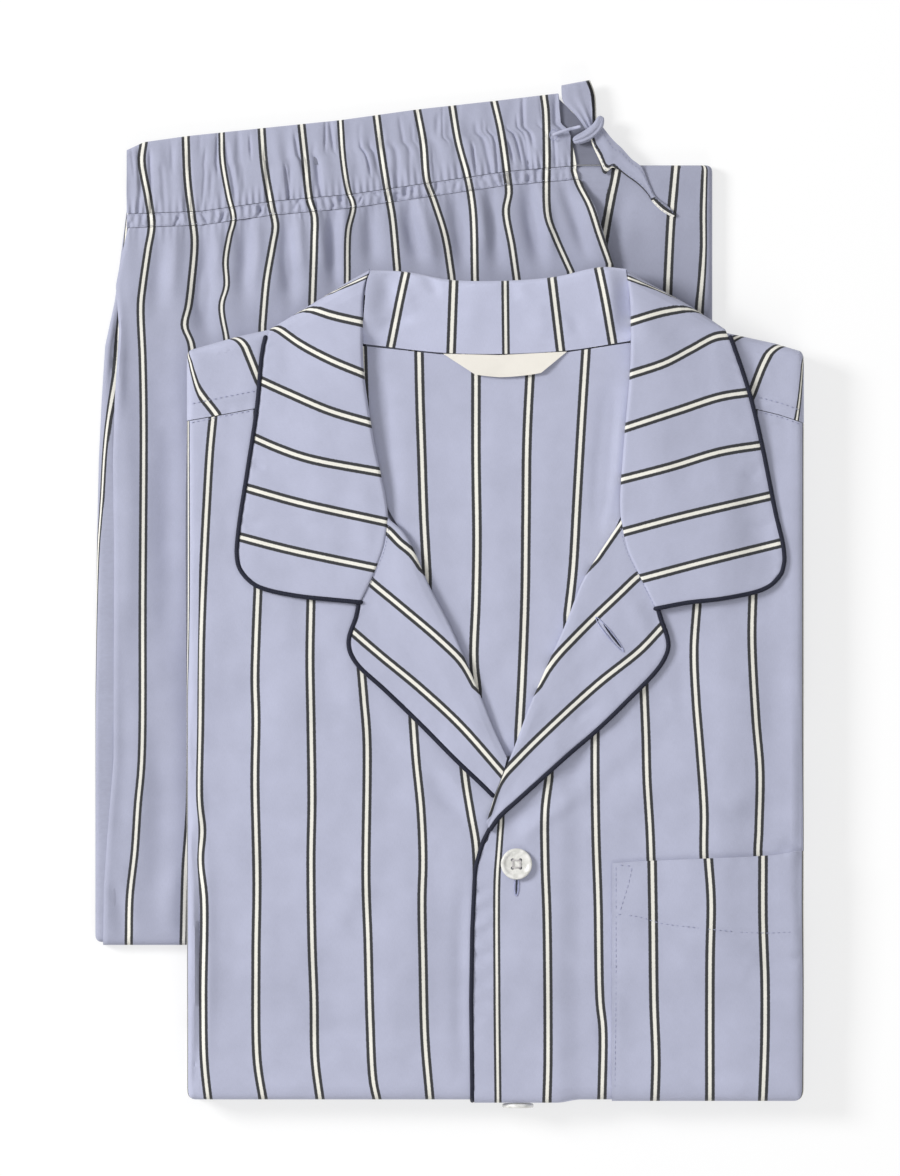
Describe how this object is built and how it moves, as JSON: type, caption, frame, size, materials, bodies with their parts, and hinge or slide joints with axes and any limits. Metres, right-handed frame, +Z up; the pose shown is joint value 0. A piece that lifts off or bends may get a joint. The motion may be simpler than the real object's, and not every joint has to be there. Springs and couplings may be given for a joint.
{
  "type": "folded pyjama set",
  "caption": "Folded pyjama set: a piped button-front jacket with a notched collar and a pocket, lying on trousers with a gathered, tied waistband.",
  "frame": {"origin": "middle of the set's footprint, on the surface that it rests on", "axes": "+Z up from the resting face, +Y from the folded lower edge towards the collar and the waistband, +X towards the wearer's left side of the jacket"},
  "size_m": [0.3978, 0.5776, 0.0386],
  "materials": {
    "cloth": "matte woven cotton, striped in the visual model",
    "hidden_cloth": "matte woven cotton",
    "piping": "matte corded satin",
    "label": "smooth woven tape",
    "pearl": "pearly gloss"
  },
  "bodies": {
    "root": {"trouser_legs_folded": "hidden_cloth", "trouser_back": "cloth", "trouser_front": "cloth", "trouser_back_waist": "hidden_cloth", "waistband_casing": "cloth", "waistband_ruffle": "cloth", "tie_loop": "cloth", "tie_knot": "cloth", "tie_strand": "cloth", "tie_end": "cloth", "jacket_folded_body": "hidden_cloth", "jacket_back": "cloth", "shoulder_left": "cloth", "shoulder_right": "cloth", "front_left": "cloth", "front_right": "cloth", "collar_stand": "cloth", "collar_left": "cloth", "collar_right": "cloth", "lapel_left": "cloth", "lapel_right": "cloth", "pocket": "cloth", "neck_label": "label", "piping_collar_left": "piping", "piping_collar_right": "piping", "piping_lapel_left": "piping", "piping_lapel_right": "piping", "piping_front": "piping", "button_upper": "pearl", "button_lower": "pearl"}
  },
  "joints": []
}
